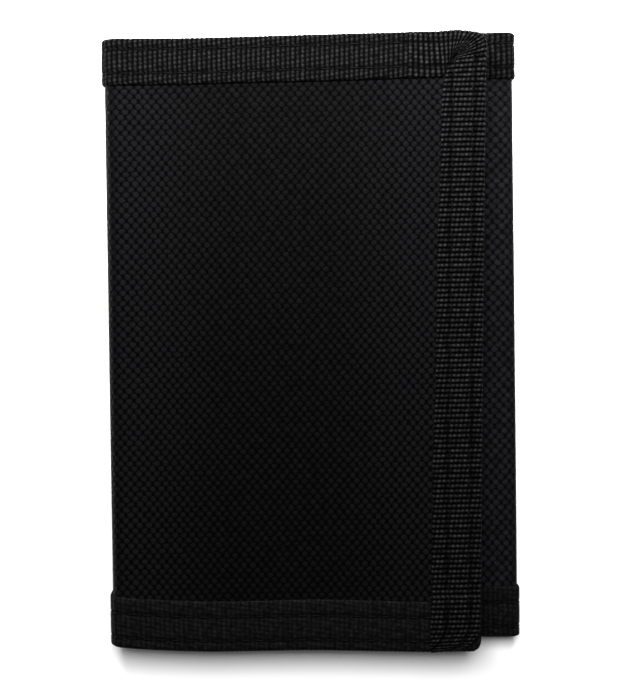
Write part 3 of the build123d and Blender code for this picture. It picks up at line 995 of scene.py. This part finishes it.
def ring_piece(name, node, hole, hole_corner, material, slot, lip, columns=14):
    """A sheet with a hole, given by its middle and size, from its CAD node's box, with its edges
    eased by lip mm."""
    low, high = box_mm(node)
    middle = (low[:2] + high[:2]) / 2
    outer, _ = outline(middle, high[:2] - low[:2], PATCH_CORNER, 360)
    inner, _ = outline(hole[0], hole[1], hole_corner, 360)
    share = np.linspace(0, 1, columns)
    share = share * share * (3 - 2 * share)
    spots = inner[:, None] + (outer - inner)[:, None] * share[None, :, None]
    from_edge = np.minimum(share, 1 - share) * np.linalg.norm(outer - inner, axis=1)[:, None]
    ease = lip * np.exp(-(from_edge / 0.5) ** 2)
    z = high[2] - ease + wander(spots[..., 0], spots[..., 1], 0.04, 9)
    top = np.concatenate([spots, z[..., None]], axis=2)
    bottom = np.concatenate([spots, low[2] + 0.05 + 0 * z[..., None]], axis=2)
    piece = solid_between(name, top, bottom, spots, material, slot, ring=True)
    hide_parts(node)
    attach(piece, "back_panel")
    return piece


def window_pocket():
    """The clear window with its thumb slot, and the nylon frame sewn over its edges."""
    low, high = box_mm("id_window")
    middle = (low[:2] + high[:2]) / 2
    slot_middle = middle + (0, THUMB_SLOT_RISE - WINDOW_OPENING[1] / 2)
    vinyl = ring_piece("id_window_vinyl", "id_window", (slot_middle, THUMB_SLOT),
                       THUMB_SLOT[1] / 2 - 0.01, VINYL, "id_window", 0.05, 24)
    size = (high - low) * MM
    low, high = box_mm("id_window_frame")
    size = (high - low)[:2]
    frame_piece = ring_piece("id_window_frame_cloth", "id_window_frame", (middle, WINDOW_OPENING),
                             PATCH_CORNER, PATCH_BASE_CLOTH, "shell_nylon", 0.12)
    for number, inset in ((1, 1.6), (2, 5.0)):
        round_stitches(f"id_window_frame_stitches_{number}", middle, size - 2 * inset,
                       PATCH_CORNER, high[2], 1, "back_panel")


def tubes(name, paths, plane_normals, radius, material, slot):
    """Many little bent tubes, each path lying in a plane."""
    sides = 4
    count, rings = paths.shape[:2]
    along = np.gradient(paths, axis=1)
    along = along / np.linalg.norm(along, axis=2)[..., None]
    beside = np.broadcast_to(plane_normals[:, None], along.shape)
    points = rings_round(paths, beside, np.cross(beside, along), radius, sides)
    return quad_object(name, points, tube_quads(count, rings, sides), points[:, :2], material)


def round_grid(low, high, corner, step):
    """A grid over a rectangle with round corners, and how far each point is from its edge."""
    middle = (low[:2] + high[:2]) / 2
    half = (high[:2] - low[:2]) / 2
    sides = [np.linspace(-side, side, 2 * int(side / step) + 1) for side in half]
    x, y = np.meshgrid(*sides, indexing="ij")
    out_x = np.maximum(abs(x) - (half[0] - corner), 0)
    out_y = np.maximum(abs(y) - (half[1] - corner), 0)
    reach = np.hypot(out_x, out_y)
    pull = np.maximum(out_x, out_y) / np.maximum(reach, 1e-9)
    from_edge = np.minimum(half[0] - abs(x), half[1] - abs(y))
    x = x - np.sign(x) * out_x * (1 - pull) * (reach > 0)
    y = y - np.sign(y) * out_y * (1 - pull) * (reach > 0)
    return x + middle[0], y + middle[1], from_edge


def patch_base(node, body, facing, slot):
    """A patch's woven ground, rounded at its corners, with a row of stitches round it. Returns its
    corners and the z of its face."""
    low, high = box_mm(node)
    middle = (low[:2] + high[:2]) / 2
    sewn = low[2] if facing > 0 else high[2]
    face = sewn + facing * PATCH_GROUND
    x, y, from_edge = round_grid(low, high, PATCH_CORNER, 0.5)
    spots = np.stack([x, y], axis=-1)
    z = face - facing * 0.25 * np.exp(-(from_edge / 0.35) ** 2)
    near = np.concatenate([spots, z[..., None]], axis=2)
    far = np.concatenate([spots, sewn + 0 * z[..., None]], axis=2)
    piece = solid_between(f"{node}_ground", near, far, spots, PATCH_BASE_CLOTH, slot)
    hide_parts(node)
    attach(piece, body)
    round_stitches(f"{node}_stitches", middle, high[:2] - low[:2] - 2.6, PATCH_CORNER, face, facing,
                   body)
    return low, high, face


def field(low, high, border, pitch):
    """Places of hooks or loops inside a patch's border, every other row shifted by half a pitch."""
    columns = int((high[0] - low[0] - 2 * border) / pitch)
    rows = int((high[1] - low[1] - 2 * border) / pitch)
    row, column = np.meshgrid(np.arange(rows), np.arange(columns), indexing="ij")
    middle = (low[:2] + high[:2]) / 2
    x = middle[0] + (column - (columns - 1) / 2 + (row % 2) * 0.5 - 0.25) * pitch
    y = middle[1] + (row - (rows - 1) / 2) * pitch
    return x.ravel(), y.ravel()


def hook_field():
    """Rows of small J hooks, which face the loops on the inner flap."""
    low, high, face = patch_base("hook_patch", "outer_flap", -1, "hook_patch")
    x, y = field(low, high, 2.6, 1.35)
    reach = face - low[2] - 0.1
    turn = np.linspace(np.pi, -0.5, 7)
    bend_radius = 0.28
    side = np.concatenate([[0, 0], bend_radius + bend_radius * np.cos(turn)])
    shank = reach - bend_radius
    down = np.concatenate([[0, 0.4 * shank], shank + bend_radius * np.sin(turn)])
    way = np.where((np.arange(len(x)) % 2) == 0, 1.0, -1.0)
    paths = np.stack([
        x[:, None] + 0 * side[None, :],
        y[:, None] + way[:, None] * (side[None, :] - 0.2),
        face - down[None, :] + 0 * x[:, None],
    ], axis=-1)
    normals = np.tile([1.0, 0.0, 0.0], (len(x), 1))
    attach(tubes("hook_patch_hooks", paths, normals, 0.11, HOOKS, "hook_patch"), "outer_flap")


def loop_field():
    """A brushed pile of small loops that lean every way."""
    low, high, face = patch_base("loop_patch", "inner_flap", 1, "loop_patch")
    x, y = field(low, high, 2.4, 0.82)
    pile = np.random.default_rng(7)
    count = len(x)
    angle = pile.uniform(0, np.pi, count)
    tall = (high[2] - face - 0.12) * pile.uniform(0.6, 1.0, count)
    half = pile.uniform(0.35, 0.62, count)
    lean = pile.uniform(-0.35, 0.35, count)
    turn = np.linspace(0, np.pi, 9)
    flat = half[:, None] * np.cos(turn)[None, :] + lean[:, None] * np.sin(turn)[None, :]
    rise = tall[:, None] * np.sin(turn)[None, :] ** 0.8
    x = x + pile.uniform(-0.2, 0.2, count)
    y = y + pile.uniform(-0.2, 0.2, count)
    paths = np.stack([
        x[:, None] + flat * np.cos(angle)[:, None],
        y[:, None] + flat * np.sin(angle)[:, None],
        face - 0.05 + rise,
    ], axis=-1)
    normals = np.stack([-np.sin(angle), np.cos(angle), 0 * angle], axis=1)
    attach(tubes("loop_patch_pile", paths, normals, 0.07, LOOPS, "loop_patch"), "inner_flap")


window_pocket()
hook_field()
loop_field()

# ---- Floor, light and camera

def studio():
    """In metres: a pale round floor, a broad soft light above the wallet's top edge, a small one
    close to that edge, a pale horizon and the camera."""
    scene = bpy.context.scene
    mesh = bpy.data.meshes.new("floor")
    radius = 0.5
    floor_z = -0.1 * MM          # just below the ribs of the tape
    turn = np.linspace(0, 2 * np.pi, 96, endpoint=False)
    rim = [(radius * np.cos(a), radius * np.sin(a), floor_z) for a in turn]
    mesh.from_pydata(rim, [], [tuple(range(len(rim)))])
    floor = bpy.data.objects.new("floor", mesh)
    scene.collection.objects.link(floor)
    g = Graph("white_floor", 0.7, 0.2)
    where = g.put("ShaderNodeTexCoord").outputs["Object"]
    grain = g.noise(where, 60.0)
    mesh.materials.append(g.finish(g.between(grain, grey(0.86), grey(0.9)), grain, 0.02))

    world = bpy.data.worlds.new("studio")
    scene.world = world
    world.use_nodes = True
    tree = world.node_tree
    background = tree.nodes["Background"]
    background.inputs["Color"].default_value = (1, 1, 1, 1)
    place = tree.nodes.new("ShaderNodeTexCoord")
    parts = tree.nodes.new("ShaderNodeSeparateXYZ")
    glow = tree.nodes.new("ShaderNodeMapRange")
    glow.interpolation_type = "SMOOTHSTEP"
    for number, socket in zip((*GLOW_HEIGHTS, HORIZON, WORLD), list(glow.inputs)[1:]):
        socket.default_value = number
    tree.links.new(place.outputs["Generated"], parts.inputs[0])
    tree.links.new(parts.outputs[2], glow.inputs[0])
    tree.links.new(glow.outputs[0], background.inputs["Strength"])

    def lamp(name, place, aim, size, power):
        data = bpy.data.lights.new(name, "AREA")
        data.shape = "RECTANGLE"
        data.size, data.size_y = size
        data.energy = power
        light = bpy.data.objects.new(name, data)
        light.location = place
        towards = Vector(aim) - light.location
        light.rotation_euler = towards.to_track_quat("-Z", "Y").to_euler()
        scene.collection.objects.link(light)

    lamp("key_light", (0.0, 0.115, 0.62), (0.0, 0.0, 0.0), (0.3, 0.2), KEY_POWER)
    lamp("top_edge_light", (0.0, 0.125, 0.09), (0.0, 0.03, 0.0), (0.18, 0.03), TOP_EDGE_POWER)

    data = bpy.data.cameras.new("camera")
    camera = bpy.data.objects.new("camera", data)
    height = 0.56                # above the inner flap
    view_height = 0.1404         # of what the camera sees there
    data.sensor_fit = "VERTICAL"
    data.sensor_height = 24.0
    data.lens = 24.0 * height / view_height
    camera.location = (0.00075, -0.00118, INNER_Z * MM + height)
    camera.rotation_euler = (0, 0, -0.0166)
    scene.collection.objects.link(camera)
    scene.camera = camera
    scene.view_settings.view_transform = "Standard"


studio()
